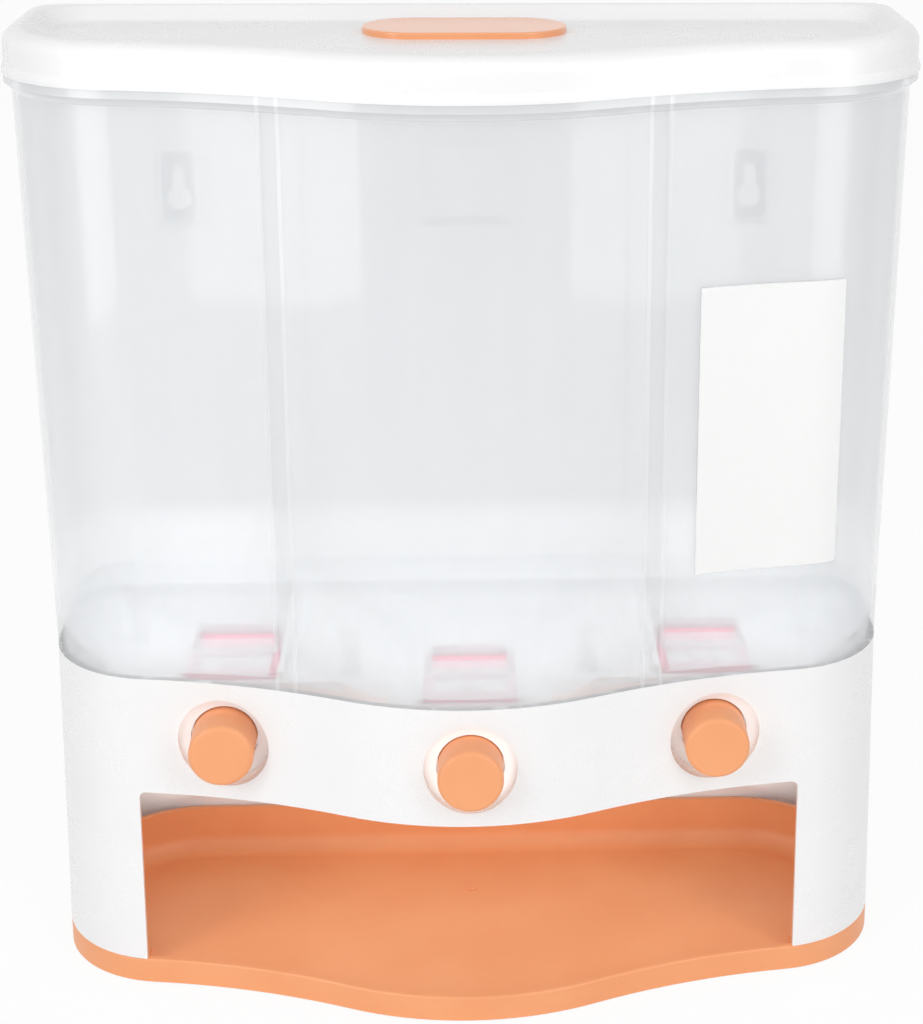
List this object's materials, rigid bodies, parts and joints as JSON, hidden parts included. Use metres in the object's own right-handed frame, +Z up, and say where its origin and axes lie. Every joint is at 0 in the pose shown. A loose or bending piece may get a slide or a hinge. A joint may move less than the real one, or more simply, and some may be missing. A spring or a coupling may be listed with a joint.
{
  "type": "grain dispenser",
  "caption": "Wide wall or worktop grain dispenser: frosted compartments on a white housing, push buttons over an open serving bay, and a lift-off lid.",
  "frame": {"origin": "on the surface it stands on, under the middle of its width and depth", "axes": "+X to the right as seen from the front, +Y towards the wall behind it, +Z up"},
  "size_m": [0.3208, 0.1296, 0.3526],
  "materials": {
    "white_plastic": "smooth satin white",
    "orange_plastic": "smooth satin orange",
    "orange_gloss_plastic": "polished orange",
    "pink_plastic": "smooth satin rose pink",
    "frosted_plastic": "frosted translucent, smooth outside",
    "clear_rubber": "soft milky rubber",
    "foot_rubber": "matt rubber",
    "spring_steel": "drawn wire",
    "zinc_steel": "bright zinc",
    "label_paper": "satin coated paper"
  },
  "bodies": {
    "cabinet": {"base_tray": "orange_plastic", "housing": "white_plastic", "container": "frosted_plastic", "deck": "white_plastic", "chute_left": "white_plastic", "chute_middle": "white_plastic", "chute_right": "white_plastic", "outlet_seals": "clear_rubber", "deck_screws": "zinc_steel", "base_screws": "zinc_steel", "rubber_feet": "foot_rubber", "label": "label_paper", "spring_left": "spring_steel", "spring_middle": "spring_steel", "spring_right": "spring_steel"},
    "lid": {"lid": "white_plastic", "lid_seal": "clear_rubber", "lid_grip": "orange_gloss_plastic"},
    "button_left": {"button_left": "orange_plastic", "gate_left": "pink_plastic"},
    "button_middle": {"button_middle": "orange_plastic", "gate_middle": "pink_plastic"},
    "button_right": {"button_right": "orange_plastic", "gate_right": "pink_plastic"}
  },
  "joints": [
    {"name": "button_left_press", "type": "slide", "parent": "cabinet", "child": "button_left", "axis": [0, 1, 0], "range_m": [0, 0.012], "stiffness_N_per_m": 250, "springref_m": -0.008, "deforming": ["spring_left"]},
    {"name": "button_middle_press", "type": "slide", "parent": "cabinet", "child": "button_middle", "axis": [0, 1, 0], "range_m": [0, 0.012], "stiffness_N_per_m": 250, "springref_m": -0.008, "deforming": ["spring_middle"]},
    {"name": "button_right_press", "type": "slide", "parent": "cabinet", "child": "button_right", "axis": [0, 1, 0], "range_m": [0, 0.012], "stiffness_N_per_m": 250, "springref_m": -0.008, "deforming": ["spring_right"]},
    {"name": "lid_lift", "type": "slide", "parent": "cabinet", "child": "lid", "axis": [0, 0, 1], "range_m": [0, 0.08]}
  ]
}
